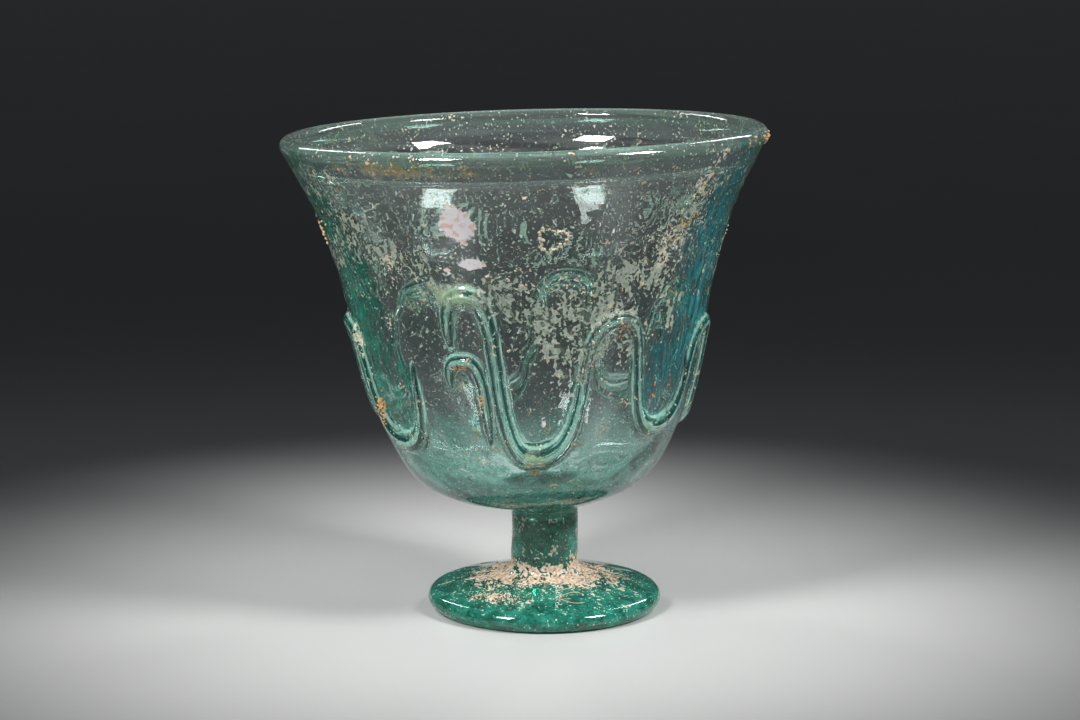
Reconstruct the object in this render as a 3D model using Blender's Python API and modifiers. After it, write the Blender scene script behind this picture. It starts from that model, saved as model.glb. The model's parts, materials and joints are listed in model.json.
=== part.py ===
"""A stemmed glass goblet, blown and tooled in one: a bell-shaped bowl with a rounded lip and a wave of
applied thread, on a short hollow stem and a round foot. Metres, +Z up, with the table at zero."""

import math

import bmesh
import bpy
from mathutils import Matrix, Vector
from mathutils.geometry import interpolate_bezier

OBJECT = "goblet"

# Bowl
RIM_RADIUS = 0.056  # the widest ring of the lip
BOWL_HEIGHT = 0.0885  # from the bowl's lowest outside point to the top of its lip
BOWL_WALL = 0.0019
BOWL_BOTTOM = 0.0040  # the glass in the middle of the bowl's bottom
LIP_RADIUS = 0.0021  # rounding of the thickened lip
# The bowl's outside, from its lowest point up, as shares of its height and of the rim's radius
BOWL_OUTLINE = (
    (0.0, 0.0),
    (0.018, 0.236),
    (0.078, 0.466),
    (0.226, 0.616),
    (0.350, 0.682),
    (0.486, 0.729),
    (0.610, 0.770),
    (0.802, 0.866),
    (0.910, 0.946),
)
THICK_BELOW = 0.30  # the wall has thinned to its full height's thickness at this share of the bowl

# Stem and foot
STEM_RADIUS = 0.0078
STEM_BORE = 0.0056  # the radius of the hollow that was tooled up into the stem
STEM_LENGTH = 0.0161  # from the foot's crown to the bowl
STEM_ROOF = 0.0012  # glass left under the bowl, over the top of the hollow
TOP_FILLET = 0.0012
LOW_FILLET = 0.0030
FOOT_RADIUS = 0.0274
FOOT_CROWN = 0.0078  # the foot's height where it meets the stem
FOOT_EDGE = 0.0046  # the thickness of the foot's rounded edge
REST_RING = 0.0034  # the width of the flat ring that the foot stands on
UNDERSIDE_RISE = 0.0013  # how far the underside is drawn up between the ring and the hollow

# The bowl sits a little off the foot's axis and leans the same way
BOWL_SHIFT = 0.0024
BOWL_LEAN_DEGREES = 1.55
SHIFT_SPREAD = 0.011  # the width of the ring round the stem, under the bowl, that takes up the shift

# Applied thread
THREAD_WIDTH = 0.0056
THREAD_PROUD = 0.0019
THREAD_SEAT = 0.0003  # its widest line lies this far under the surface, so no gap is left beneath
THREAD_SINK = 0.55  # the share of the wall that the thread is sunk into
THREAD_ARM = 0.66  # the thread's width on its upright arms, as a share of its width at the turns
# How far a turn's handles reach towards the next turn: tight crests, and wide, round troughs
CREST_REACH = 0.68
TROUGH_REACH = 0.90
END_REACH = 1.1  # of the turn beside an upright end
# Crests and troughs of the wave: degrees round from the front, to the right, share of the bowl's height,
# and share of the thread's width. The first and last points are the two ends.
WAVE = (
    (-24.3, 0.500, 0.90),
    (-17.5, 0.636, 0.92),
    (0.5, 0.212, 1.10),
    (28.8, 0.560, 0.66),
    (49.0, 0.262, 0.95),
    (75.0, 0.500, 0.75),
    (99.0, 0.235, 1.05),
    (120.0, 0.535, 0.75),
    (143.0, 0.240, 1.05),
    (167.0, 0.535, 0.80),
    (196.0, 0.225, 1.10),
    (225.0, 0.535, 0.75),
    (250.0, 0.240, 1.05),
    (281.0, 0.520, 0.85),
    (308.0, 0.236, 1.05),
    (320.0, 0.465, 0.60),
)
# A shorter end of thread, hooked over beside the wave's first arm and run down next to it
HOOK = ((-25.8, 0.400, 0.80), (-20.2, 0.468, 0.68), (-14.4, 0.240, 1.00))

# Fineness of the faceted solid
TURN_STEPS = 56
OUTLINE_STEPS = 16
OUTLINE_TURN_DEGREES = 9.0  # the outline gets a new point where it has turned by this much
OUTLINE_REACH = 0.14  # or has run this share of the bowl's height
THREAD_STEPS = 11
END_STEPS = 4
ARC_STEP_DEGREES = 30.0

BOWL_LEAN = math.radians(BOWL_LEAN_DEGREES)
BOWL_BASE = FOOT_CROWN + STEM_LENGTH
LIP_CENTRE = Vector((RIM_RADIUS - LIP_RADIUS, BOWL_HEIGHT - LIP_RADIUS))
FOOT_X = BOWL_SHIFT + math.sin(BOWL_LEAN) * LIP_CENTRE.y
GLASS = (0.45, 0.74, 0.66, 1.0)


def clear_scene():
    for item in list(bpy.data.objects):
        bpy.data.objects.remove(item)


def smooth_line(points, steps):
    """A smooth line through the points, with so many steps between each two."""
    spans = [(b - a).length for a, b in zip(points, points[1:])]
    slopes = []
    for i in range(len(points)):
        before = (points[i] - points[i - 1]) / spans[i - 1] if i else None
        after = (points[i + 1] - points[i]) / spans[i] if i < len(spans) else None
        if before is None or after is None:
            slopes.append(after or before)
        else:
            share = spans[i - 1] / (spans[i - 1] + spans[i])
            slopes.append(before.lerp(after, share))
    line = [points[0]]
    for i, span in enumerate(spans):
        first = points[i] + slopes[i] * span / 3
        second = points[i + 1] - slopes[i + 1] * span / 3
        line += interpolate_bezier(points[i], first, second, points[i + 1], steps + 1)[1:]
    return line


def arc(centre, radius, start, end):
    """Points of an arc in the outline's plane, angles in degrees from the outward direction."""
    count = max(2, math.ceil(abs(end - start) / ARC_STEP_DEGREES))
    angles = [math.radians(start + (end - start) * i / count) for i in range(count + 1)]
    return [centre + radius * Vector((math.cos(a), math.sin(a))) for a in angles]


def bowl_outside():
    """The bowl's outer line from its lowest point up to the lip's rounding: radius, and height over it."""
    stations = [Vector((r * RIM_RADIUS, h * BOWL_HEIGHT)) for h, r in BOWL_OUTLINE]
    mirrored = Vector((-stations[1].x, stations[1].y))
    lip_start = arc(LIP_CENTRE, LIP_RADIUS, -30, 0)[0]
    line = smooth_line([mirrored] + stations + [lip_start], OUTLINE_STEPS)
    return line[OUTLINE_STEPS:]


def thinned(line):
    """The points of a fine line that its shape needs, both ends included."""
    kept = [line[0]]
    direction = line[1] - line[0]
    for here, after in zip(line[1:], line[2:]):
        turned = math.degrees(abs(direction.angle_signed(after - here)))
        if turned > OUTLINE_TURN_DEGREES or (here - kept[-1]).length > OUTLINE_REACH * BOWL_HEIGHT:
            kept.append(here)
            direction = after - here
    return kept + [line[-1]]


FINE_OUTSIDE = bowl_outside()


def outside_at(height):
    """The bowl's outer radius at a height over its lowest point, and how fast it widens there."""
    for a, b in zip(FINE_OUTSIDE, FINE_OUTSIDE[1:]):
        if height <= b.y:
            slope = (b.x - a.x) / (b.y - a.y)
            return a.x + slope * (height - a.y), slope
    return FINE_OUTSIDE[-1].x, slope


def wall_at(height):
    """The bowl's wall: full at the bottom, thinning to an even wall higher up."""
    share = min(height / (THICK_BELOW * BOWL_HEIGHT), 1.0)
    return BOWL_WALL + (BOWL_BOTTOM - BOWL_WALL) * (1 - share) ** 2


def bowl_inside():
    """The bowl's inner line from its middle up, set in from the outer line by the wall's thickness."""
    line = [Vector((0.0, BOWL_BOTTOM))]
    for before, here, after in zip(FINE_OUTSIDE, FINE_OUTSIDE[1:], FINE_OUTSIDE[2:]):
        along = (after - before).normalized()
        inner = here + Vector((-along.y, along.x)) * wall_at(here.y)
        if inner.x > line[-1].x and inner.y > line[-1].y:
            line.append(inner)
    return line


def bowl_line():
    """The bowl's outline from the middle of its inside, over the lip and down to the stem's fillet."""
    lip = arc(LIP_CENTRE, LIP_RADIUS, 165, -30)
    inside = [p for p in bowl_inside() if p.y < lip[0].y - 2 * LIP_RADIUS]
    joint = STEM_RADIUS + 2 * TOP_FILLET
    outside = [p for p in FINE_OUTSIDE[:-1] if p.x > joint]
    return thinned(inside) + lip + list(reversed(thinned(outside)))


def underside_at(radius):
    """The height of the bowl's underside at a radius."""
    for a, b in zip(FINE_OUTSIDE, FINE_OUTSIDE[1:]):
        if radius <= b.x:
            return a.y + (b.y - a.y) * (radius - a.x) / (b.x - a.x)
    return FINE_OUTSIDE[-1].y


def foot_line():
    """The stem and foot from the bowl's underside down, round the edge and up into the hollow."""
    joint = STEM_RADIUS + TOP_FILLET
    top = BOWL_BASE + underside_at(joint)
    edge = Vector((FOOT_RADIUS - FOOT_EDGE / 2, FOOT_EDGE / 2))
    mouth = STEM_BORE + UNDERSIDE_RISE
    ring = edge.x - REST_RING
    roof = BOWL_BASE - STEM_ROOF
    line = arc(Vector((joint, top - TOP_FILLET)), TOP_FILLET, 90, 180)
    line += arc(Vector((STEM_RADIUS + LOW_FILLET, FOOT_CROWN + LOW_FILLET)), LOW_FILLET, 180, 255)
    line += arc(edge, FOOT_EDGE / 2, 75, -90)
    line += [Vector((ring, 0.0)), Vector(((ring + mouth) / 2, UNDERSIDE_RISE * 0.75))]
    line += arc(Vector((mouth, 2 * UNDERSIDE_RISE)), UNDERSIDE_RISE, 270, 180)
    return line + bore_top(roof)


def bore_top(roof):
    """The domed top of the stem's hollow, flatter than a half ball, from its wall in to the axis."""
    dome = STEM_BORE / 2
    return [Vector((p.x, roof - dome + p.y / 2)) for p in arc(Vector((0.0, 0.0)), STEM_BORE, 0, 90)]


def eased(value):
    """0 to 1 with no corner at either end."""
    share = min(max(value, 0.0), 1.0)
    return share * share * (3 - 2 * share)


def set_in_place(point):
    """Leans and shifts the bowl on its upright stem, and stands the rim's middle over the origin."""
    pivot = Vector((0.0, 0.0, BOWL_BASE))
    leaning = eased((point.z - BOWL_BASE) / STEM_LENGTH + 1.0)
    beside = math.hypot(point.x, point.y) - STEM_RADIUS - TOP_FILLET
    shifted = eased(beside / SHIFT_SPREAD) * leaning
    turned = Matrix.Rotation(-BOWL_LEAN * leaning, 3, "Y") @ (point - pivot) + pivot
    return turned + Vector((FOOT_X - BOWL_SHIFT * shifted, 0.0, 0.0))


def evaluated_copy(item):
    """A plain mesh of what an object's modifiers or curve settings make."""
    bpy.context.view_layer.update()
    graph = bpy.context.evaluated_depsgraph_get()
    return bpy.data.meshes.new_from_object(item.evaluated_get(graph))


def glass_material():
    material = bpy.data.materials.new("blue-green glass")
    material.use_nodes = True
    shader = material.node_tree.nodes["Principled BSDF"]
    shader.inputs["Base Color"].default_value = GLASS
    shader.inputs["Roughness"].default_value = 0.08
    shader.inputs["Metallic"].default_value = 0.0
    shader.inputs["Transmission Weight"].default_value = 1.0
    return material


def turned_body(collection):
    """Bowl, stem and foot, turned from one outline and then leaned."""
    raised = [Vector((p.x, p.y + BOWL_BASE)) for p in bowl_line()]
    outline = raised + foot_line()
    outline[0].x = 0.0
    outline[-1].x = 0.0
    profile = bpy.data.meshes.new("outline")
    edges = [(i, i + 1) for i in range(len(outline) - 1)]
    profile.from_pydata([(p.x, 0.0, p.y) for p in outline], edges, [])
    lathe = bpy.data.objects.new("lathe", profile)
    collection.objects.link(lathe)
    screw = lathe.modifiers.new("turn", "SCREW")
    screw.steps = TURN_STEPS
    screw.render_steps = TURN_STEPS
    screw.use_merge_vertices = True
    screw.merge_threshold = 0.00001
    body = bpy.data.objects.new(OBJECT, evaluated_copy(lathe))
    bpy.data.objects.remove(lathe)
    collection.objects.link(body)
    for vertex in body.data.vertices:
        vertex.co = set_in_place(vertex.co.copy())
    return body


def wave_points(turns):
    """The thread's middle line on the unrolled bowl: upright ends, and level crests and troughs."""
    flat = [Vector((math.radians(degrees), share * BOWL_HEIGHT)) for degrees, share, _ in turns]
    line = [flat[0]]
    for i, (a, b) in enumerate(zip(flat, flat[1:])):
        step = b - a
        first, last = (TROUGH_REACH, CREST_REACH) if step.y > 0 else (CREST_REACH, TROUGH_REACH)
        upright = Vector((0.0, step.y / 2))
        starts, ends = i == 0, i == len(flat) - 2
        leave = upright if starts else Vector((step.x * (END_REACH if ends else first), 0.0))
        arrive = upright if ends else Vector((step.x * (END_REACH if starts else last), 0.0))
        line += interpolate_bezier(a, a + leave, b - arrive, b, THREAD_STEPS + 1)[1:]
    return line


def thread_shares(line, turns, radius):
    """The thread's width at each point as a share of its full width: slimmer on the arms, round-ended."""
    shares = []
    for i in range(len(line)):
        before = line[max(i - 1, 0)]
        after = line[min(i + 1, len(line) - 1)]
        run = abs(after.x - before.x) * radius
        level = run / math.hypot(run, after.y - before.y)
        from_end = min(i, len(line) - 1 - i)
        rounding = math.sin(math.pi / 2 * min((from_end + 0.6) / END_STEPS, 1.0))
        turn = min(i // THREAD_STEPS, len(turns) - 2)
        past = i / THREAD_STEPS - turn
        width = turns[turn][2] * (1 - past) + turns[turn + 1][2] * past
        shares.append((THREAD_ARM + (1 - THREAD_ARM) * level) * rounding * width)
    return shares


def thread(name, turns, collection):
    """One applied thread: a flat tube drawn on the unrolled bowl, then wrapped on to it."""
    radius = outside_at(0.4 * BOWL_HEIGHT)[0]
    line = wave_points(turns)
    curve = bpy.data.curves.new(name, "CURVE")
    curve.dimensions = "3D"
    curve.bevel_depth = THREAD_WIDTH / 2
    curve.bevel_resolution = 2
    curve.use_fill_caps = True
    spline = curve.splines.new("POLY")
    spline.points.add(len(line) - 1)
    for point, place, share in zip(spline.points, line, thread_shares(line, turns, radius)):
        point.co = (place.x * radius, place.y, 0.0, 1.0)
        point.radius = share
    drawn = bpy.data.objects.new(name + " line", curve)
    collection.objects.link(drawn)
    tube = bpy.data.objects.new(name, evaluated_copy(drawn))
    bpy.data.objects.remove(drawn)
    collection.objects.link(tube)
    weld(tube.data)
    for vertex in tube.data.vertices:
        vertex.co = on_bowl(vertex.co.x / radius, vertex.co.y, vertex.co.z / (THREAD_WIDTH / 2))
    tube.hide_render = True
    tube.display_type = "WIRE"
    return tube


def weld(mesh):
    """Joins a tube's loose end caps to its sides."""
    work = bmesh.new()
    work.from_mesh(mesh)
    bmesh.ops.remove_doubles(work, verts=work.verts, dist=0.00001)
    bmesh.ops.recalc_face_normals(work, faces=work.faces)
    work.to_mesh(mesh)
    work.free()


def on_bowl(azimuth, height, depth):
    """A point by the bowl's outside: depth 1 is the thread's top, and -1 its bottom, in the wall."""
    radius, slope = outside_at(height)
    reach = THREAD_PROUD if depth > 0 else -THREAD_SINK * BOWL_WALL
    lift = abs(depth) * (reach + THREAD_SEAT) - THREAD_SEAT
    outward = Vector((1.0, -slope)).normalized() * lift
    across = radius + outward.x
    place = Vector((across * math.sin(azimuth), -across * math.cos(azimuth), 0.0))
    place.z = BOWL_BASE + height + outward.y
    return set_in_place(place)


def fuse(body, tube):
    union = body.modifiers.new(tube.name, "BOOLEAN")
    union.operation = "UNION"
    union.solver = "EXACT"
    union.object = tube


def main():
    clear_scene()
    parts = bpy.data.collections.new(OBJECT)
    tools = bpy.data.collections.new("threads")
    bpy.context.scene.collection.children.link(parts)
    bpy.context.scene.collection.children.link(tools)
    body = turned_body(parts)
    for name, turns in (("wave", WAVE), ("hook", HOOK)):
        fuse(body, thread(name, turns, tools))
    body.data.materials.append(glass_material())
    body.data.shade_smooth()


main()
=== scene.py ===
"""The looks of a blown glass goblet with an applied wave thread, weathered by burial. Metres, +Z up.
The goblet is one closed glass mesh with a volume inside. Soil, crumbs and fibres are meshes on it."""

import json
import math
import random

import bmesh
import bpy
import numpy as np
from mathutils import Matrix, Vector, noise
from mathutils.bvhtree import BVHTree
from mathutils.geometry import interpolate_bezier

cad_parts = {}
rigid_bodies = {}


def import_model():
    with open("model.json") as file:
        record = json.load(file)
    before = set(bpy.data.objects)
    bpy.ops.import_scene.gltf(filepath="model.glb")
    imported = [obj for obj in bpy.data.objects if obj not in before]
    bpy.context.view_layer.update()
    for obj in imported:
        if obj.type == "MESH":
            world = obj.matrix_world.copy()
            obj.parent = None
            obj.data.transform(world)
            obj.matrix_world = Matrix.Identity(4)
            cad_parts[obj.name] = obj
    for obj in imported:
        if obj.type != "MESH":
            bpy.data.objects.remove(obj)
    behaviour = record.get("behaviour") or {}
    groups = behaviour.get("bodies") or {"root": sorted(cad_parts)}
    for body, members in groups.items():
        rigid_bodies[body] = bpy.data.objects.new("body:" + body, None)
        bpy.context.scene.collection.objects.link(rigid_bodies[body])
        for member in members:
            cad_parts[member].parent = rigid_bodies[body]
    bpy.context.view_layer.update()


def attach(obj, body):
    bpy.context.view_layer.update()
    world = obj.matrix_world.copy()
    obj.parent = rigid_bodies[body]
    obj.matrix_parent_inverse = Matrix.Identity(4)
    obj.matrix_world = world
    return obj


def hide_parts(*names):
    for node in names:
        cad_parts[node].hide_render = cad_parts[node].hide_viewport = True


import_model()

MM = 0.001

# Bowl, as in the solid
RIM_RADIUS = 0.056
BOWL_HEIGHT = 0.0885
BOWL_WALL = 0.0019
BOWL_BOTTOM = 0.0040
LIP_RADIUS = 0.0021
BOWL_OUTLINE = (
    (0.0, 0.0),
    (0.018, 0.236),
    (0.078, 0.466),
    (0.226, 0.616),
    (0.350, 0.682),
    (0.486, 0.729),
    (0.610, 0.770),
    (0.802, 0.866),
    (0.910, 0.946),
)
THICK_BELOW = 0.30
OUTLINE_STEPS = 24

# Stem and foot, as in the solid
STEM_RADIUS = 0.0078
STEM_BORE = 0.0056
STEM_LENGTH = 0.0161
STEM_ROOF = 0.0012
TOP_FILLET = 0.0012
LOW_FILLET = 0.0030
FOOT_RADIUS = 0.0274
FOOT_CROWN = 0.0078
FOOT_EDGE = 0.0046
REST_RING = 0.0034
UNDERSIDE_RISE = 0.0013
BOWL_SHIFT = 0.0024
BOWL_LEAN = math.radians(1.55)
SHIFT_SPREAD = 0.011
BOWL_BASE = FOOT_CROWN + STEM_LENGTH
LIP_CENTRE = (RIM_RADIUS - LIP_RADIUS, BOWL_HEIGHT - LIP_RADIUS)
FOOT_X = BOWL_SHIFT + math.sin(BOWL_LEAN) * LIP_CENTRE[1]

# Applied thread, as in the solid: degrees round, share of the bowl's height, share of the thread's width
THREAD_WIDTH = 0.0056
THREAD_PROUD = 0.0019
THREAD_SEAT = 0.0003
THREAD_ARM = 0.66
CREST_REACH = 0.68
TROUGH_REACH = 0.90
END_REACH = 1.1
THREAD_STEPS = 24
THREAD_ROUNDED = 0.36  # the share of a turn over which an end is rounded off
THREAD_BLUNT = 0.15
WAVE = (
    (-24.3, 0.500, 0.90),
    (-17.5, 0.636, 0.92),
    (0.5, 0.212, 1.10),
    (28.8, 0.560, 0.66),
    (49.0, 0.262, 0.95),
    (75.0, 0.500, 0.75),
    (99.0, 0.235, 1.05),
    (120.0, 0.535, 0.75),
    (143.0, 0.240, 1.05),
    (167.0, 0.535, 0.80),
    (196.0, 0.225, 1.10),
    (225.0, 0.535, 0.75),
    (250.0, 0.240, 1.05),
    (281.0, 0.520, 0.85),
    (308.0, 0.236, 1.05),
    (320.0, 0.465, 0.60),
)
HOOK = ((-25.8, 0.400, 0.80), (-20.2, 0.468, 0.68), (-14.4, 0.240, 1.00))

# Fineness of the glass mesh
COLUMNS = 364
INSIDE_STEP = 0.0027
PLAIN_STEP = 0.0012
THREAD_STEP = 0.00068
THREAD_ZONE = (0.011, 0.0605)  # the heights over the bowl's base that the thread's fine rings cover
# Unevenness of the blown glass: its size and height in metres, and a seed
BOWL_WAVES = ((0.013, 0.00016, 1), (0.005, 0.00004, 2))
FOOT_WAVES = ((0.006, 0.00022, 3),)
# Parts of the outline by number: 0 is the bowl's inside, and the foot's edge and underside come last
LIP, UPPER, UNDER, TOP_JOINT, STEM, FOOT_TOP = 1, 2, 4, 5, 6, 8

# The photograph's camera, fitted to the rim, the foot and the outline
CAMERA_PLACE = (0.0037, -0.6087, 0.16735)
CAMERA_PITCH = math.radians(10.14)
CAMERA_LENS = 88.47
CAMERA_SENSOR = 36.0
CAMERA_CLIP = 0.01

# The studio
FLOOR_PAINTED_POOL_TO = 0.05  # the distance from the goblet's middle where the floor's colour starts to grow darker, as a painted falloff of the pool of light
# the distance where the painted falloff of the pool of light is full
FLOOR_PAINTED_DARK_FROM = 0.215
FLOOR_PALE = ((0.45, 0.45, 0.445, 1.0), (0.48, 0.48, 0.475, 1.0))
# the floor's colour beyond the pool of light, painted dark grey as shade
FLOOR_PAINTED_DARK = (0.025, 0.0255, 0.027, 1.0)
FLOOR_CLOUDS = 9.0
FLOOR_HALF = 7
FLOOR_DROP = 0.0001
# Soft boxes: degrees round from the front, degrees up, width and height in metres, and power in watts
LAMPS = (
    ("left_box", -45, 39, 0.20, 0.21, 0.52),
    ("right_box", 60, 39, 0.20, 0.21, 0.52),
    ("left_strip", -140, 36, 0.07, 0.34, 0.11),
    ("right_strip", 142, 36, 0.07, 0.34, 0.11),
)
LAMP_SPREAD = 44
LAMP_AWAY = 0.75
LAMP_AIM = (0.0, 0.0, 0.06)
ROOM_COLOUR = (0.86, 0.93, 1.0, 1.0)
ROOM_STRENGTH = 0.055


def clear_scene():
    """Takes out any lamp or camera that is there already."""
    for item in list(bpy.data.objects):
        if item.type in {"LIGHT", "CAMERA"}:
            bpy.data.objects.remove(item)


def eased(value):
    """0 to 1 with no corner at either end."""
    share = np.clip(value, 0.0, 1.0)
    return share * share * (3 - 2 * share)


def smooth_line(points, steps):
    """A smooth line through flat points, with so many steps between each two."""
    points = [Vector(p) for p in points]
    spans = [(b - a).length for a, b in zip(points, points[1:])]
    slopes = []
    for i in range(len(points)):
        before = (points[i] - points[i - 1]) / spans[i - 1] if i else None
        after = (points[i + 1] - points[i]) / spans[i] if i < len(spans) else None
        if before is None or after is None:
            slopes.append(after or before)
        else:
            share = spans[i - 1] / (spans[i - 1] + spans[i])
            slopes.append(before.lerp(after, share))
    line = [points[0]]
    for i, span in enumerate(spans):
        first = points[i] + slopes[i] * span / 3
        second = points[i + 1] - slopes[i + 1] * span / 3
        line += interpolate_bezier(points[i], first, second, points[i + 1], steps + 1)[1:]
    return np.array([(p.x, p.y) for p in line])


def arc(centre, radius, start, end, step=12.0):
    """Points of an arc in the outline's plane, angles in degrees from the outward direction."""
    count = max(2, math.ceil(abs(end - start) / step))
    angles = np.radians(np.linspace(start, end, count + 1))
    return np.array(centre) + radius * np.stack([np.cos(angles), np.sin(angles)], 1)


def spaced(line, step):
    """The line's points again, at even steps of about the given length, both ends included."""
    run = np.concatenate([[0.0], np.cumsum(np.hypot(*np.diff(line, axis=0).T))])
    at = np.linspace(0.0, run[-1], max(2, math.ceil(run[-1] / step) + 1))
    return np.stack([np.interp(at, run, line[:, 0]), np.interp(at, run, line[:, 1])], 1)


def bowl_outside():
    """The bowl's outer line from its lowest point up to the lip's rounding: radius, and height over it."""
    stations = [(r * RIM_RADIUS, h * BOWL_HEIGHT) for h, r in BOWL_OUTLINE]
    mirrored = (-stations[1][0], stations[1][1])
    lip_start = tuple(arc(LIP_CENTRE, LIP_RADIUS, -30, 0)[0])
    return smooth_line([mirrored] + stations + [lip_start], OUTLINE_STEPS)[OUTLINE_STEPS:]


OUTSIDE = bowl_outside()


def wall_at(height):
    """The bowl's wall: full at the bottom, thinning to an even wall higher up."""
    share = np.minimum(height / (THICK_BELOW * BOWL_HEIGHT), 1.0)
    return BOWL_WALL + (BOWL_BOTTOM - BOWL_WALL) * (1 - share) ** 2


def bowl_inside():
    """The bowl's inner line from its middle up, set in from the outer line by the wall's thickness."""
    along = OUTSIDE[2:] - OUTSIDE[:-2]
    along /= np.hypot(*along.T)[:, None]
    here = OUTSIDE[1:-1]
    inner = here + np.stack([-along[:, 1], along[:, 0]], 1) * wall_at(here[:, 1])[:, None]
    line = [(0.0, BOWL_BOTTOM)]
    for r, h in inner:
        if r > line[-1][0] and h > line[-1][1]:
            line.append((r, h))
    return np.array(line)


def outline():
    """The whole outline from the middle of the bowl's inside to the top of the stem's hollow, as radius
    and height over the table, with a part number for each point."""
    lip = arc(LIP_CENTRE, LIP_RADIUS, 165, -30)
    inside = bowl_inside()
    inside = spaced(inside[inside[:, 1] < lip[0, 1] - 2 * LIP_RADIUS], INSIDE_STEP)
    low, high = THREAD_ZONE
    joint = STEM_RADIUS + 2 * TOP_FILLET
    down = OUTSIDE[:-1][::-1]
    down = down[down[:, 0] > joint]
    upper = spaced(down[down[:, 1] >= high], PLAIN_STEP)
    middle = spaced(down[(down[:, 1] < high) & (down[:, 1] > low)], THREAD_STEP)
    under = spaced(down[down[:, 1] <= low], PLAIN_STEP)
    edge = (FOOT_RADIUS - FOOT_EDGE / 2, FOOT_EDGE / 2)
    top = float(np.interp(joint - TOP_FILLET, OUTSIDE[:, 0], OUTSIDE[:, 1])) + BOWL_BASE
    mouth = STEM_BORE + UNDERSIDE_RISE
    ring = edge[0] - REST_RING
    roof = BOWL_BASE - STEM_ROOF
    fillet = arc((joint - TOP_FILLET, top - TOP_FILLET), TOP_FILLET, 90, 180, 22)
    low_fillet = arc((STEM_RADIUS + LOW_FILLET, FOOT_CROWN + LOW_FILLET), LOW_FILLET, 180, 255)
    rounded = arc(edge, FOOT_EDGE / 2, 75, -90)
    stem = spaced(np.array([fillet[-1], low_fillet[0]]), PLAIN_STEP)[1:-1]
    slope = spaced(np.array([low_fillet[-1], rounded[0]]), PLAIN_STEP)[1:-1]
    drawn_up = smooth_line([(ring, 0.0), ((ring + mouth) / 2, UNDERSIDE_RISE * 0.75),
                            (mouth, UNDERSIDE_RISE)], 5)
    corner = arc((mouth, 2 * UNDERSIDE_RISE), UNDERSIDE_RISE, 270, 180, 22)[1:]
    dome = arc((0.0, 0.0), STEM_BORE, 0, 90, 15)
    dome[:, 1] = roof - STEM_BORE / 2 + dome[:, 1] / 2
    bore = spaced(np.array([corner[-1], dome[0]]), PLAIN_STEP)[1:-1]
    raised = [p + (0.0, BOWL_BASE) for p in (inside, lip, upper[1:], middle, under)]
    sections = raised + [fillet, stem, low_fillet, slope, rounded, drawn_up, corner, bore, dome]
    numbers = [np.full(len(s), i) for i, s in enumerate(sections)]
    return np.concatenate(sections), np.concatenate(numbers)


def set_in_place(points):
    """Leans and shifts the bowl on its upright stem, and stands the rim's middle over the origin."""
    x, y, z = points.T
    leaning = eased((z - BOWL_BASE) / STEM_LENGTH + 1.0)
    shifted = eased((np.hypot(x, y) - STEM_RADIUS - TOP_FILLET) / SHIFT_SPREAD) * leaning
    angle = -BOWL_LEAN * leaning
    up = z - BOWL_BASE
    turned_x = x * np.cos(angle) + up * np.sin(angle)
    turned_z = -x * np.sin(angle) + up * np.cos(angle)
    return np.stack([turned_x + FOOT_X - BOWL_SHIFT * shifted, y, turned_z + BOWL_BASE], 1)


def wave_points(turns):
    """The thread's middle line on the unrolled bowl, and the share of the full width along it."""
    flat = [Vector((math.radians(degrees), share * BOWL_HEIGHT)) for degrees, share, _ in turns]
    line = [flat[0]]
    for i, (a, b) in enumerate(zip(flat, flat[1:])):
        step = b - a
        first, last = (TROUGH_REACH, CREST_REACH) if step.y > 0 else (CREST_REACH, TROUGH_REACH)
        upright = Vector((0.0, step.y / 2))
        starts, ends = i == 0, i == len(flat) - 2
        leave = upright if starts else Vector((step.x * (END_REACH if ends else first), 0.0))
        arrive = upright if ends else Vector((step.x * (END_REACH if starts else last), 0.0))
        line += interpolate_bezier(a, a + leave, b - arrive, b, THREAD_STEPS + 1)[1:]
    line = np.array([(p.x, p.y) for p in line])
    line[:, 0] *= UNROLLED
    run = np.gradient(line, axis=0)
    level = np.abs(run[:, 0]) / np.hypot(*run.T)
    turned = np.arange(len(line)) / THREAD_STEPS
    width = np.interp(turned, np.arange(len(turns)), [t[2] for t in turns])
    from_end = np.minimum(np.arange(len(line)), np.arange(len(line))[::-1]) / THREAD_STEPS
    rounding = np.sin(math.pi / 2 * np.minimum(from_end / THREAD_ROUNDED + THREAD_BLUNT, 1.0))
    return line, (THREAD_ARM + (1 - THREAD_ARM) * level) * rounding * width


UNROLLED = float(np.interp(0.4 * BOWL_HEIGHT, OUTSIDE[:, 1], OUTSIDE[:, 0]))


def thread_lift(azimuth, height):
    """How far the thread stands out of the bowl at each place, and how near its middle line each is."""
    lift = np.full(len(azimuth), -1.0)
    middle = np.zeros(len(azimuth))
    for turns in (WAVE, HOOK):
        line, shares = wave_points(turns)
        for lap in (-1, 0, 1):
            x = (azimuth + lap * 2 * math.pi) * UNROLLED
            near = (x > line[:, 0].min() - THREAD_WIDTH) & (x < line[:, 0].max() + THREAD_WIDTH)
            if not near.any():
                continue
            place = np.stack([x[near], height[near]], 1)
            best = np.full(len(place), -1.0)
            close = np.zeros(len(place))
            for a, b, s, t in zip(line, line[1:], shares, shares[1:]):
                along = b - a
                past = np.clip((place - a) @ along / (along @ along), 0.0, 1.0)
                off = np.hypot(*(place - a - past[:, None] * along).T) / (THREAD_WIDTH / 2)
                share = s + (t - s) * past
                inside = share ** 2 - off ** 2
                rise = (THREAD_PROUD + THREAD_SEAT) * np.sign(inside) * np.sqrt(np.abs(inside))
                best = np.maximum(best, rise - THREAD_SEAT)
                close = np.maximum(close, 1.0 - off / share)
            lift[near] = np.maximum(lift[near], best)
            middle[near] = np.maximum(middle[near], close)
    return lift, middle


def smoothly_out(lift, rounding=0.00022):
    """The lift above the bowl's own surface, eased into it with no crease along the thread's foot."""
    return (lift + np.sqrt(lift ** 2 + rounding ** 2)) / 2 - rounding ** 2 / (4 * (np.abs(lift) + rounding))


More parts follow.
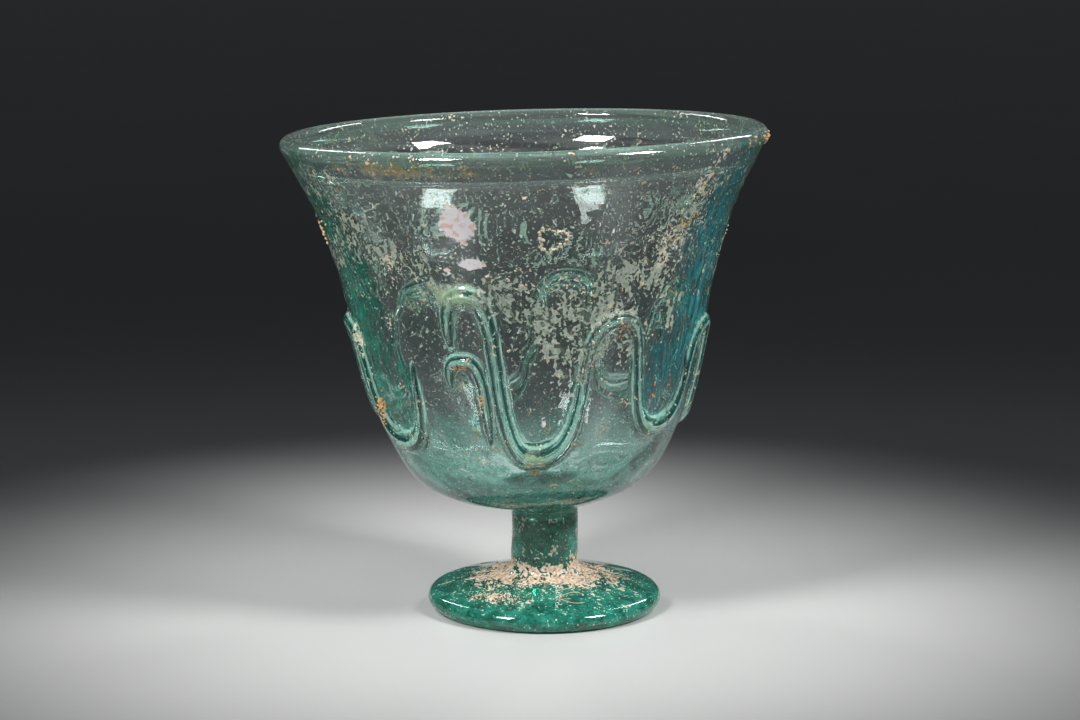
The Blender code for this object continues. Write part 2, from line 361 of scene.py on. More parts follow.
def waviness(points, size, height, seed):
    """A gentle unevenness of blown glass at each point."""
    away = Vector((seed * 7.3, seed * 3.1, seed * 5.7))
    return np.array([height * noise.noise(Vector(p) / size + away) for p in points])


def glass_grid():
    """The goblet's surface as rings and columns, leaned and in place, with each point's azimuth in the
    bowl's own frame, its height over the bowl's base and its part of the outline."""
    line, part = outline()
    azimuth = np.arange(COLUMNS) * 2 * math.pi / COLUMNS - math.pi
    rings = len(line)
    r = np.repeat(line[:, 0], COLUMNS)
    z = np.repeat(line[:, 1], COLUMNS)
    parts = np.repeat(part, COLUMNS)
    around = np.tile(azimuth, rings)
    slope = np.gradient(line, axis=0)
    slope /= np.hypot(*slope.T)[:, None]
    out_r = np.repeat(-slope[:, 1], COLUMNS)
    out_z = np.repeat(slope[:, 0], COLUMNS)
    height = z - BOWL_BASE
    lift = np.zeros(len(r))
    middle = np.zeros(len(r))
    zone = (parts >= UPPER) & (parts <= UNDER)
    raised, near = thread_lift(around[zone], height[zone])
    lift[zone] = smoothly_out(raised)
    middle[zone] = near
    plain = np.stack([r * np.sin(around), -r * np.cos(around), z], 1)
    bowl = (parts <= UNDER) & (parts != LIP)
    foot = (parts >= STEM) & (parts <= FOOT_TOP)
    for place, waves in ((bowl, BOWL_WAVES), (foot, FOOT_WAVES)):
        lift[place] += sum(waviness(plain[place], *wave) for wave in waves)
    r = r + out_r * lift
    z = z + out_z * lift
    points = np.stack([r * np.sin(around), -r * np.cos(around), z], 1)
    return set_in_place(points), around, height, parts, middle, rings


def spread_of(azimuth, height, at, up, wide, tall, tilt=0.0):
    """1 in the middle of a soft patch on the bowl, falling to 0.5 at its edge and on to 0. The middle is at
    a number of degrees and a height in mm; its half width and half height are in mm too."""
    across = (np.degrees(azimuth) - at + 180.0) % 360.0 - 180.0
    x = np.radians(across) * UNROLLED / MM
    y = height / MM - up
    turned = math.radians(tilt)
    along = x * math.cos(turned) + y * math.sin(turned)
    aside = -x * math.sin(turned) + y * math.cos(turned)
    return 0.5 ** ((along / wide) ** 2 + (aside / tall) ** 2)


# Weathering outside the bowl, and painted light in the flake, teal and fern patches: kind, degrees round,
# height in mm, half width, half height, strength, tilt
BOWL_PATCHES = (
    ("lace", -40, 65, 11, 3.8, 0.60, -8),
    ("lace", -54, 69, 8, 6.5, 0.52, 0),
    ("lace", -60, 80, 8, 5.0, 0.42, 0),
    ("lace", -26, 61, 7, 3.0, 0.52, -14),
    ("lace", -9, 57, 5, 5.0, 0.58, -50),
    ("lace", 4, 51, 9, 5.5, 0.60, -12),
    ("lace", 17, 52, 9, 6.5, 0.64, 10),
    ("lace", 28, 60, 8, 5.0, 0.58, 20),
    ("lace", 39, 60, 6, 7.0, 0.58, 0),
    ("lace", 12, 43, 8, 5.0, 0.57, 0),
    ("lace", 14, 36, 5, 4.0, 0.45, 0),
    ("lace", 31, 47, 4, 7.0, 0.50, 0),
    ("lace", 47, 72, 5, 9.0, 0.58, -30),
    ("lace", 48, 50, 4, 8.0, 0.46, 0),
    ("crust", 42, 65, 4.5, 6.5, 0.46, -20),
    ("crust", 47, 74, 3.6, 6.5, 0.46, -25),
    ("crust", 51, 81, 2.6, 4.5, 0.48, -25),
    ("crust", -42, 63, 5.0, 2.5, 0.36, -8),
    ("crust", 12, 83, 0.9, 3.4, 0.50, 8),
    ("crust", -52, 82, 3.4, 1.4, 0.46, -10),
    ("crust", -68, 40, 2.2, 7.0, 0.46, 0),
    ("stain", -20.5, 40, 2.6, 1.6, 0.54, 0),
    ("stain", -16.5, 33, 1.1, 4.5, 0.48, 0),
    ("stain", 29, 46, 1.2, 2.2, 0.46, 0),
    ("stain", -63, 27, 1.6, 5.0, 0.48, 0),
    ("stain", 46, 70, 2.6, 4.0, 0.38, 0),
    ("stain", -8, 21, 2.6, 0.9, 0.42, 0),
    ("stain", 2, 15, 9.0, 0.7, 0.44, 0),
    ("crust", 22, 12.5, 8.0, 0.7, 0.40, 6),
    ("amber", -28, 84.3, 16, 1.9, 0.62, 0),
    ("amber", 14, 84.3, 12, 1.2, 0.40, 0),
    ("olive", -20.5, 56.6, 7.8, 3.4, 0.86, -8),
    ("olive", -21, 36, 1.6, 2.6, 0.55, 0),
    ("olive", -30, 37, 3.4, 2.4, 0.46, 0),
    ("olive", 0, 19, 6.0, 2.2, 0.70, 0),
    ("olive", 22, 44, 4.0, 6.0, 0.50, 0),
    ("olive", 46, 24, 5.0, 2.4, 0.55, 0),
    # Flake patches: an iridescent film with painted highlights and reflections of the lamps in it; the two
    # narrow ones at about 28 mm are painted highlight streaks
    ("flake_and_glint", -17, 72.8, 3.4, 5.2, 0.90, 6),
    ("flake_and_glint", -14.5, 63.6, 3.2, 1.4, 0.80, 0),
    ("flake_and_glint", -22, 62, 1.2, 1.5, 0.70, 0),
    ("flake_and_glint", -19, 17, 3.2, 2.4, 0.46, 10),
    ("flake_and_glint", 13, 34, 0.8, 6.5, 0.46, 6),
    ("flake_and_glint", 4.5, 27.5, 1.0, 3.2, 0.60, 8),
    ("flake_and_glint", 19.5, 28, 1.0, 3.4, 0.60, 4),
    # Teal and fern patches: painted blue-green refraction colour of the thick glass at the bowl's sides
    ("teal", 66, 52, 8, 22, 1.00, 0),
    ("teal", 48, 38, 4, 12, 0.60, 0),
    ("teal", -12, 43, 1.6, 4.0, 0.30, 0),
    ("fern", -66, 50, 8, 22, 1.00, 0),
    ("fern", -48, 34, 4, 10, 0.55, 0),
    ("milk", -4, 8, 30, 7.0, 0.90, 0),
    ("milk", 40, 10, 20, 6.0, 0.80, 0),
    ("milk", -45, 11, 20, 6.0, 0.85, 0),
    ("milk", -26, 26, 8, 6.0, 0.50, 0),
    ("milk", 85, 12, 18, 7.0, 0.80, 0),
    ("milk", -85, 12, 18, 7.0, 0.80, 0),
)
# The sides that the photograph doesn't show carry the same kinds of weathering, more evenly
HIDDEN_PATCHES = (
    ("lace", 92, 60, 14, 6, 0.56, 10),
    ("lace", 128, 66, 12, 5, 0.54, -10),
    ("lace", 165, 54, 15, 6, 0.54, 6),
    ("lace", 208, 63, 13, 5, 0.56, 0),
    ("lace", 246, 54, 12, 6, 0.54, -12),
    ("lace", 282, 62, 12, 5, 0.54, 8),
    ("crust", 88, 78, 5, 4, 0.46, 0),
    ("crust", 190, 42, 3, 6, 0.44, 0),
    ("crust", 262, 76, 5, 4, 0.46, 0),
    ("stain", 76, 40, 1.6, 4, 0.50, 0),
    ("stain", 168, 42, 1.6, 3, 0.50, 0),
    ("stain", 226, 42, 1.6, 3, 0.50, 0),
    ("amber", 118, 84, 16, 1.8, 0.50, 0),
    ("amber", 230, 84, 18, 1.8, 0.50, 0),
    ("olive", 120, 44, 5, 4, 0.60, 0),
    ("olive", 225, 44, 5, 4, 0.60, 0),
    # Fainter patches of the same painted refraction colour
    ("teal", 96, 50, 8, 20, 0.30, 0),
    ("teal", 150, 42, 10, 18, 0.22, 0),
    ("fern", 262, 46, 9, 20, 0.34, 0),
    ("fern", 215, 46, 10, 18, 0.22, 0),
    ("milk", 125, 10, 26, 7.0, 0.82, 0),
    ("milk", 180, 10, 26, 7.0, 0.82, 0),
    ("milk", 235, 10, 26, 7.0, 0.82, 0),
)
KINDS = ("lace", "crust", "stain", "olive", "flake_and_glint", "teal", "fern", "milk", "speck", "soil", "thread",
         "haze", "emerald", "amber")
# Heights in mm over the bowl's base where specks and haze start to grow, and over how many mm they do
SPECKS_RISE = (55, 30)
HAZE_RISE = (68, 16)
LIP_HAZE = 0.20
FOOT_GREEN = 0.62
STEM_GREEN = 0.46
# Soil on the foot, in metres: its reach ahead and what is added at the sides, and its soft edge
SOIL_REACH = (0.0165, 0.0065)
SOIL_EDGE = 0.009
LEFT_SOIL = (-34, 15, 0.0200, 0.0028)  # degrees round and half width, metres out and half depth
STEM_SOIL_TOP = 0.0150
STEM_SOIL_FADE = 0.006
STEM_SOIL_LEAST = 0.19


def weathering(points, azimuth, height, parts, middle):
    """How strongly each kind of weathering, painted light and painted refraction colour lies at each point
    of the glass.
    """
    masks = {kind: np.zeros(len(points)) for kind in KINDS}
    outside = (parts >= LIP) & (parts <= UNDER)
    for kind, at, up, wide, tall, strength, tilt in BOWL_PATCHES + HIDDEN_PATCHES:
        patch = strength * spread_of(azimuth, height, at, up, wide, tall, tilt)
        masks[kind] = np.where(outside, np.maximum(masks[kind], patch), masks[kind])
    bowl = parts <= UNDER
    masks["speck"] = np.where(bowl, 0.26 + 0.5 * risen(height, SPECKS_RISE), 0.30)
    masks["thread"] = middle
    masks["haze"] = np.where(bowl, 0.01 + 0.06 * risen(height, HAZE_RISE), 0.02)
    masks["haze"] = np.where(parts == LIP, LIP_HAZE, masks["haze"])
    masks["emerald"] = np.where(parts >= TOP_JOINT, FOOT_GREEN, 0.0)
    masks["emerald"] = np.where(parts == STEM, STEM_GREEN, masks["emerald"])
    masks["soil"] = foot_soil_at(points, parts)
    return masks


def risen(height, rise):
    """0 up to the rise's start and 1 from its end, eased between them."""
    start, over = rise
    return eased((height / MM - start) / over)


def foot_soil_at(points, parts):
    """How strongly soil lies on the foot's top and the stem: a ring round the stem that reaches further to
    the left and right, and a patch of its own on the left."""
    x = points[:, 0] - FOOT_X
    away = np.hypot(x, points[:, 1])
    around = np.degrees(np.arctan2(x, -points[:, 1]))
    nearest, further = SOIL_REACH
    reach = nearest + further * np.abs(np.sin(np.radians(around))) ** 2
    ring = 0.60 * eased((reach - away) / SOIL_EDGE) + 0.06 * np.cos(np.radians(around + 10))
    at, wide, out, deep = LEFT_SOIL
    left = 0.56 * 0.5 ** (((around - at) / wide) ** 2 + ((away - out) / deep) ** 2)
    top = (parts >= STEM) & (parts <= FOOT_TOP)
    soil = np.where(top, np.clip(np.maximum(ring, left), 0, 1), 0)
    low = 0.44 * eased((STEM_SOIL_TOP - points[:, 2]) / STEM_SOIL_FADE)
    return np.where(parts == STEM, np.maximum(low, STEM_SOIL_LEAST), soil)


def mesh_object(name, points, faces):
    """A new object from points and faces, shaded smooth."""
    mesh = bpy.data.meshes.new(name)
    mesh.from_pydata([tuple(p) for p in points], [], [tuple(f) for f in faces])
    mesh.update()
    mesh.shade_smooth()
    item = bpy.data.objects.new(name, mesh)
    bpy.context.scene.collection.objects.link(item)
    return item


def attribute(item, name, values):
    """A value for each vertex, which the material reads by its name."""
    layer = item.data.attributes.new(name, "FLOAT", "POINT")
    layer.data.foreach_set("value", np.asarray(values, dtype=np.float32))


def goblet():
    """The whole goblet as one closed mesh of glass, with its weathering as values on its vertices."""
    points, azimuth, height, parts, middle, rings = glass_grid()
    masks = weathering(points, azimuth, height, parts, middle)
    keep = np.ones(len(points), bool)
    keep[1:COLUMNS] = False
    keep[-COLUMNS + 1:] = False
    index = np.cumsum(keep) - 1
    index[:COLUMNS] = 0
    index[-COLUMNS:] = index[-COLUMNS]
    grid = index.reshape(rings, COLUMNS)
    after = np.roll(grid, -1, axis=1)
    faces = [(grid[0, 0], grid[1, j], after[1, j]) for j in range(COLUMNS)]
    for i in range(1, rings - 2):
        faces += zip(grid[i], grid[i + 1], after[i + 1], after[i])
    faces += [(grid[-2, j], grid[-1, 0], after[-2, j]) for j in range(COLUMNS)]
    item = mesh_object("goblet_glass", points[keep], faces)
    for kind in KINDS:
        attribute(item, kind, masks[kind][keep])
    item.data.materials.append(glass_material())
    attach(item, "root")
    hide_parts("goblet")
    return item


DASH_SLANT = math.radians(-32)


class Graph:
    """Short ways to add and join the nodes of one material."""

    def __init__(self, name):
        self.material = bpy.data.materials.new(name)
        self.material.use_nodes = True
        self.tree = self.material.node_tree
        self.shader = self.tree.nodes["Principled BSDF"]
        self.output = self.tree.nodes["Material Output"]
        self.place = self.add("ShaderNodeTexCoord").outputs["Object"]

    def add(self, kind, **settings):
        node = self.tree.nodes.new(kind)
        for key, value in settings.items():
            setattr(node, key, value)
        return node

    def put(self, socket, value):
        """Joins a socket to another one, or sets its plain value."""
        if isinstance(value, bpy.types.NodeSocket):
            self.tree.links.new(value, socket)
        else:
            socket.default_value = value

    def maths(self, operation, a, b=0.0, clamped=False):
        node = self.add("ShaderNodeMath", operation=operation, use_clamp=clamped)
        self.put(node.inputs[0], a)
        self.put(node.inputs[1], b)
        return node.outputs[0]

    def total(self, *values):
        result = values[0]
        for value in values[1:]:
            result = self.maths("ADD", result, value)
        return result

    def step(self, value, low, high, bottom=0.0, top=1.0):
        """Bottom below low, top above high, eased between them."""
        node = self.add("ShaderNodeMapRange", interpolation_type="SMOOTHSTEP")
        for key, number in (("Value", value), ("From Min", low), ("From Max", high),
                            ("To Min", bottom), ("To Max", top)):
            self.put(node.inputs[key], number)
        return node.outputs[0]

    def mix(self, share, a, b):
        """Colour a, or b where the share is 1."""
        node = self.add("ShaderNodeMix", data_type="RGBA")
        self.put(node.inputs[0], share)
        self.put(node.inputs[6], a)
        self.put(node.inputs[7], b)
        return node.outputs[2]

    def blend(self, share, a, b):
        """Number a, or b where the share is 1."""
        node = self.add("ShaderNodeMix", data_type="FLOAT")
        self.put(node.inputs[0], share)
        self.put(node.inputs[2], a)
        self.put(node.inputs[3], b)
        return node.outputs[0]

    def value(self, name):
        return self.add("ShaderNodeAttribute", attribute_name=name).outputs["Fac"]

    def stretched(self, across, up):
        """Object coordinates scaled by one number across and another upwards."""
        node = self.add("ShaderNodeMapping")
        self.put(node.inputs["Vector"], self.place)
        node.inputs["Scale"].default_value = (across, across, up)
        return node.outputs[0]

    def slanted(self, across, along):
        """Object coordinates turned and scaled, so that a pattern runs in short slanted dashes."""
        node = self.add("ShaderNodeMapping")
        self.put(node.inputs["Vector"], self.place)
        node.inputs["Rotation"].default_value = (0.0, DASH_SLANT, 0.0)
        node.inputs["Scale"].default_value = (across, across, along)
        return node.outputs[0]

    def noise(self, vector, scale, detail, rough=0.55):
        node = self.add("ShaderNodeTexNoise")
        self.put(node.inputs["Vector"], vector)
        node.inputs["Scale"].default_value = scale
        node.inputs["Detail"].default_value = detail
        node.inputs["Roughness"].default_value = rough
        return node.outputs["Fac"]

    def bump(self, height, distance, strength=1.0, under=None):
        node = self.add("ShaderNodeBump")
        self.put(node.inputs["Height"], height)
        node.inputs["Distance"].default_value = distance
        self.put(node.inputs["Strength"], strength)
        if under is not None:
            self.put(node.inputs["Normal"], under)
        return node.outputs[0]


def scattered_dots(graph, scale, size, density, softness=0.06):
    """Small separate dots: a share of the cells, given by the density, each with a dot in its middle."""
    cells = graph.add("ShaderNodeTexVoronoi")
    graph.put(cells.inputs["Vector"], graph.place)
    cells.inputs["Scale"].default_value = scale
    chance = graph.add("ShaderNodeSeparateColor")
    graph.put(chance.inputs[0], cells.outputs["Color"])
    chosen = graph.maths("LESS_THAN", chance.outputs[0], density)
    radius = graph.blend(chance.outputs[1], size * 0.35, size)
    near = graph.maths("SUBTRACT", radius, cells.outputs["Distance"])
    return graph.maths("MULTIPLY", chosen, graph.step(near, -softness, softness * 0.2))


# Noises that the films share: scale, detail and roughness
BLOTCH = (300.0, 3.0, 0.72)
VEINS = (560.0, 1.0, 0.5)
GRIT = (1500.0, 1.0, 0.6)
# Drawn-out noises: how fine they are round the bowl and up it
DASHES = (1100.0, 240.0)
LINES = (45.0, 900.0)
STREAKS = (900.0, 45.0)
# Films: the mesh's value that steers each, the share of blotches and of grit, where it begins and is full
FILMS = {
    "lace": ("lace", 1.5, 0.5, 0.47, 0.57),
    "veil": ("lace", 0.9, 0.3, 0.30, 0.70),
    "crust": ("crust", 2.4, 1.0, 0.48, 0.58),
    "stain": ("stain", 2.2, 1.0, 0.46, 0.60),
    "soil": ("soil", 2.6, 1.4, 0.48, 0.58),
    "flake_and_glint": ("flake_and_glint", 0.8, 0.25, 0.44, 0.58),
    "olive": ("olive", 1.9, 0.6, 0.34, 0.80),
    "milk": ("milk", 1.5, 0.5, 0.20, 0.90),
    "emerald": ("emerald", 1.8, 0.5, 0.10, 0.95),
    "amber": ("amber", 1.8, 0.9, 0.30, 0.74),
}
# Tints in the order they are laid, each with its dark and its pale colour
CLEAR = (1.0, 1.0, 1.0, 1.0)
TINTS = (
    ("haze", (0.30, 0.44, 0.38, 1.0), (0.46, 0.60, 0.52, 1.0)),
    # Teal and fern: painted refraction colour of the thick glass at the sides
    ("teal", (0.01, 0.17, 0.23, 1.0), (0.12, 0.58, 0.59, 1.0)),
    ("fern", (0.01, 0.18, 0.13, 1.0), (0.10, 0.58, 0.42, 1.0)),
    ("milk", (0.06, 0.28, 0.24, 1.0), (0.34, 0.66, 0.56, 1.0)),
    ("emerald", (0.01, 0.17, 0.12, 1.0), (0.07, 0.50, 0.37, 1.0)),
    # Painted shade and highlight along the thread: dark lines and pale edge lines that stand in for the
    # glass's refraction and reflections
    ("painted_dark_line", (0.0, 0.05, 0.04, 1.0), (0.02, 0.16, 0.13, 1.0)),
    ("edge", (0.14, 0.48, 0.38, 1.0), (0.62, 0.84, 0.74, 1.0)),
)
# Thicker tints over those, which fade out with their cover
THICK_TINTS = (
    ("olive", (0.26, 0.46, 0.28, 1.0), (0.66, 0.80, 0.52, 1.0)),
    ("amber", (0.30, 0.22, 0.06, 1.0), (0.56, 0.48, 0.22, 1.0)),
)
# Dry films over the tints, dark and pale by the grit
DRY_FILMS = (
    ("lacy", (0.22, 0.27, 0.22, 1.0), (0.38, 0.43, 0.36, 1.0)),
    ("crust", (0.42, 0.37, 0.24, 1.0), (0.58, 0.55, 0.43, 1.0)),
    ("soil", (0.38, 0.25, 0.17, 1.0), (0.62, 0.50, 0.40, 1.0)),
    ("stain", (0.40, 0.17, 0.05, 1.0), (0.58, 0.36, 0.17, 1.0)),
)
# The flake's colours: partly an iridescent film, partly painted highlight and reflection of the lamps
FLAKE_AND_GLINT_SILVER = (0.84, 0.80, 0.82, 1.0)
FLAKE_AND_GLINT_PINK = (0.80, 0.52, 0.46, 1.0)
DOT_COLOUR = (0.56, 0.56, 0.48, 1.0)
DOT_SCALE = 820.0
DOT_SIZE = 0.19
# How far each film hides the glass, and how rough it is, where its cover is full
# The thread's edge lines and dark lines in these tables are painted highlight and painted shade, not films
HIDING = (
    ("lace", 0.80), ("crust", 0.92), ("veil", 0.25), ("stain", 0.80), ("soil", 0.94), ("flake_and_glint", 0.80),
    ("dots", 0.70), ("olive", 0.44), ("amber", 0.50), ("milk", 0.42), ("emerald", 0.50), ("haze", 0.60),
    ("teal", 0.50), ("fern", 0.50), ("edge", 0.44), ("painted_dark_line", 0.50),
)
ROUGHNESS = (("lace", 0.45), ("matt", 0.85), ("dots", 0.5))
POLISHED = 0.02
GLASS_IOR = 1.50
ABSORBED_COLOUR = (0.0, 0.82, 0.64, 1.0)
ABSORBED_DENSITY = 62.0
# The thread's painted highlight and shade lines, and its bump ridges: how close they lie, where the first
# one is, and how uneven they are
RIDGES = 8.6
FIRST_RIDGE = 0.40
UNEVEN_RIDGES = 1.2
# Relief by bump, in metres
LINE_RELIEF = 0.00006
RIDGE_RELIEF = 0.00016
GRIT_RELIEF = 0.00020


def glass_patterns(graph):
    """The noises that the films share, by name."""
    return {
        "blotch": graph.noise(graph.place, *BLOTCH),
        "veins": graph.noise(graph.place, *VEINS),
        "grit": graph.noise(graph.place, *GRIT),
        "dashes": graph.noise(graph.slanted(*DASHES), 1.0, 0.0),
        "lines": graph.noise(graph.stretched(*LINES), 1.0, 0.0),
        "streaks": graph.noise(graph.stretched(*STREAKS), 1.0, 0.0),
    }


def netting(graph, pattern):
    """The fine net and the short dashes that the lace is drawn in."""
    veins = graph.maths("ABSOLUTE", graph.maths("SUBTRACT", pattern["veins"], 0.5))
    net = graph.maths("MULTIPLY", graph.step(veins, 0.01, 0.10, 0.5, -0.5), 0.26)
    dashes = graph.maths("MULTIPLY", graph.maths("SUBTRACT", pattern["dashes"], 0.5), 0.8)
    return graph.total(net, dashes)


def broken_films(graph, pattern):
    """How far each film covers the glass: its soft patch, broken up by blotches and grit."""
    uneven = graph.maths("SUBTRACT", pattern["blotch"], 0.5)
    gritty = graph.maths("SUBTRACT", pattern["grit"], 0.5)
    covers = {}
    for name, (kind, blotches, grains, low, high) in FILMS.items():
        cover = graph.total(graph.value(kind), graph.maths("MULTIPLY", uneven, blotches),
                            graph.maths("MULTIPLY", gritty, grains))
        if name == "lace":
            cover = graph.total(cover, netting(graph, pattern))
        covers[name] = graph.step(cover, low, high)
    covers["lacy"] = graph.maths("MAXIMUM", covers["lace"], graph.step(covers["veil"], 0.0, 0.3))
    covers["matt"] = graph.maths("MAXIMUM", covers["crust"],
                                 graph.maths("MAXIMUM", covers["stain"], covers["soil"]))
    return covers


def drawn_tints(graph, pattern):
    """The haze in fine level lines, and the blue and green tints in upright streaks, which are painted
    refraction colour of the thick glass at the sides.
    """
    grainy = graph.maths("MULTIPLY", pattern["grit"], 0.9)
    lined = graph.total(graph.step(pattern["lines"], 0.45, 0.66), grainy, 0.15)
    streaky = graph.step(pattern["streaks"], 0.28, 0.72)
    covers = {"haze": graph.maths("MULTIPLY", graph.value("haze"), lined)}
    for tint in ("teal", "fern"):
        covers[tint] = graph.maths("MULTIPLY", graph.value(tint), streaky)
    return covers


def thread_ridges(graph, pattern):
    """A wave across the thread from its edges to its middle, a little uneven: -1 to 1."""
    uneven = graph.maths("MULTIPLY", graph.maths("SUBTRACT", pattern["blotch"], 0.5), UNEVEN_RIDGES)
    across = graph.maths("MULTIPLY", graph.value("thread"), RIDGES)
    return graph.maths("SINE", graph.total(across, FIRST_RIDGE, uneven))


def painted_thread_lines(graph, pattern, ridges):
    """How far the painted highlight lines at the thread's edges and the painted shade lines between them
    cover the glass.
    """
    on_thread = graph.maths("MULTIPLY", graph.step(graph.value("thread"), 0.01, 0.05),
                            graph.step(pattern["streaks"], 0.10, 0.42))
    return {
        "edge": graph.maths("MULTIPLY", on_thread, graph.step(ridges, 0.48, 0.95)),
        "painted_dark_line": graph.maths("MULTIPLY", on_thread, graph.step(ridges, -0.95, -0.40, 1.0, 0.0)),
    }


def dotted(graph, pattern):
    """Single specks, and the tiniest ones of the grit."""
    dots = scattered_dots(graph, DOT_SCALE, DOT_SIZE, graph.value("speck"))
    tiny = graph.maths("MULTIPLY", graph.step(pattern["grit"], 0.69, 0.76), 0.7)
    return graph.maths("MAXIMUM", dots, tiny)


def film_colour(graph, pattern, covers):
    """The colour of the clear glass with each film over it. A tint is at full strength wherever there is
    any of it, so that a thin one doesn't turn into a grey veil."""
    veins = pattern["veins"]
    colour = CLEAR
    # Among the tints, teal and fern are painted refraction colour, and the thread's edge and dark lines are
    # painted highlight and shade
    for name, dark, pale in TINTS:
        colour = graph.mix(graph.step(covers[name], 0.0, 0.25), colour, graph.mix(veins, dark, pale))
    for name, dark, pale in THICK_TINTS:
        colour = graph.mix(covers[name], colour, graph.mix(veins, dark, pale))
    tone = graph.step(pattern["grit"], 0.35, 0.65)
    for name, dark, pale in DRY_FILMS:
        colour = graph.mix(covers[name], colour, graph.mix(tone, dark, pale))
    # Flake colour: iridescent film with painted highlight and reflection of the lamps
    flake_and_glint = graph.mix(graph.step(veins, 0.50, 0.62), FLAKE_AND_GLINT_SILVER, FLAKE_AND_GLINT_PINK)
    colour = graph.mix(covers["flake_and_glint"], colour, flake_and_glint)
    return graph.mix(covers["dots"], colour, DOT_COLOUR)


def largest(graph, covers, shares):
    """The largest of the named covers at each place, each times its share."""
    parts = [graph.maths("MULTIPLY", covers[name], share) for name, share in shares]
    result = parts[0]
    for part in parts[1:]:
        result = graph.maths("MAXIMUM", result, part)
    return result


def relief(graph, pattern, ridges, matt):
    """The fine relief: level lines below the rim, the thread's ridges, and the grit of the dry films."""
    below_rim = graph.step(graph.value("haze"), 0.0, 0.07, 0.1, 0.6)
    on_thread = graph.step(graph.value("thread"), 0.0, 0.2)
    surface = graph.bump(pattern["lines"], LINE_RELIEF, below_rim)
    surface = graph.bump(ridges, RIDGE_RELIEF, on_thread, surface)
    return graph.bump(pattern["grit"], GRIT_RELIEF, matt, surface)


def glass_material():
    """Blue-green glass, see-through, under film, crust, stains, specks and iridescent flakes, with painted
    light: highlights and reflections in the flakes, highlight and shade lines along the thread, and
    refraction colour at the sides.
    """
    graph = Graph("weathered_glass")
    shader = graph.shader
    pattern = glass_patterns(graph)
    ridges = thread_ridges(graph, pattern)
    covers = broken_films(graph, pattern)
    covers.update(drawn_tints(graph, pattern))
    covers.update(painted_thread_lines(graph, pattern, ridges))
    covers["dots"] = dotted(graph, pattern)
    hidden = largest(graph, covers, HIDING)
    rough = largest(graph, covers, ROUGHNESS)
    graph.put(shader.inputs["Base Color"], film_colour(graph, pattern, covers))
    graph.put(shader.inputs["Transmission Weight"], graph.maths("SUBTRACT", 1.0, hidden, True))
    graph.put(shader.inputs["Roughness"], graph.maths("MAXIMUM", rough, POLISHED))
    graph.put(shader.inputs["Normal"], relief(graph, pattern, ridges, covers["matt"]))
    shader.inputs["IOR"].default_value = GLASS_IOR
    absorbed = graph.add("ShaderNodeVolumeAbsorption")
    absorbed.inputs["Color"].default_value = ABSORBED_COLOUR
    absorbed.inputs["Density"].default_value = ABSORBED_DENSITY
    graph.put(graph.output.inputs["Volume"], absorbed.outputs[0])
    return graph.material


# Dry grains and fibres: dark and pale colour of each, and the flecks on all of them
PALE_CRUST = ((0.34, 0.30, 0.20, 1.0), (0.58, 0.53, 0.40, 1.0))
ORANGE_CRUST = ((0.36, 0.15, 0.05, 1.0), (0.60, 0.36, 0.16, 1.0))
SANDY_SOIL = ((0.40, 0.26, 0.16, 1.0), (0.62, 0.47, 0.34, 1.0))
DRIED_FIBRE = ((0.30, 0.20, 0.12, 1.0), (0.50, 0.38, 0.26, 1.0))
FLECKS = (0.62, 0.56, 0.48, 1.0)
COARSE_GRAINS = 900.0
FINE_GRAINS = 5200.0


def crumb_material(name, dark, pale):
    """Dry, matt soil of mixed grains."""
    graph = Graph(name)
    shader = graph.shader
    coarse = graph.noise(graph.place, COARSE_GRAINS, 2.0, 0.6)
    fine = graph.noise(graph.place, FINE_GRAINS, 2.0, 0.6)
    body = graph.mix(graph.step(coarse, 0.35, 0.65), dark, pale)
    graph.put(shader.inputs["Base Color"], graph.mix(graph.step(fine, 0.56, 0.70), body, FLECKS))
    graph.put(shader.inputs["Roughness"], graph.step(fine, 0.2, 0.8, 0.78, 0.96))
    graph.put(shader.inputs["Normal"], graph.bump(fine, 0.00008, 0.7))
    return graph.material


def floor_material():
    """A pale, smooth studio table, its colour painted darker away from the goblet as a pool of light that
    falls off to grey.
    """
    graph = Graph("floor_with_painted_pool")
    tone = graph.noise(graph.place, FLOOR_CLOUDS, 3.0)
    away = graph.add("ShaderNodeVectorMath", operation="LENGTH")
    graph.put(away.inputs[0], graph.place)
    # Painted pool of light: 0 near the goblet, 1 where the floor is painted dark grey as the light's
    # falloff
    far = graph.step(away.outputs["Value"], FLOOR_PAINTED_POOL_TO, FLOOR_PAINTED_DARK_FROM)
    pale = graph.mix(tone, *FLOOR_PALE)
    graph.put(graph.shader.inputs["Base Color"], graph.mix(far, pale, FLOOR_PAINTED_DARK))
    graph.put(graph.shader.inputs["Roughness"], graph.step(tone, 0.0, 1.0, 0.30, 0.32))
    return graph.material


# Where the rays that find the glass start: off the bowl, over the foot and off the stem's axis
OFF_BOWL = 5 * MM
OVER_FOOT = 16 * MM
OFF_STEM = 14 * MM


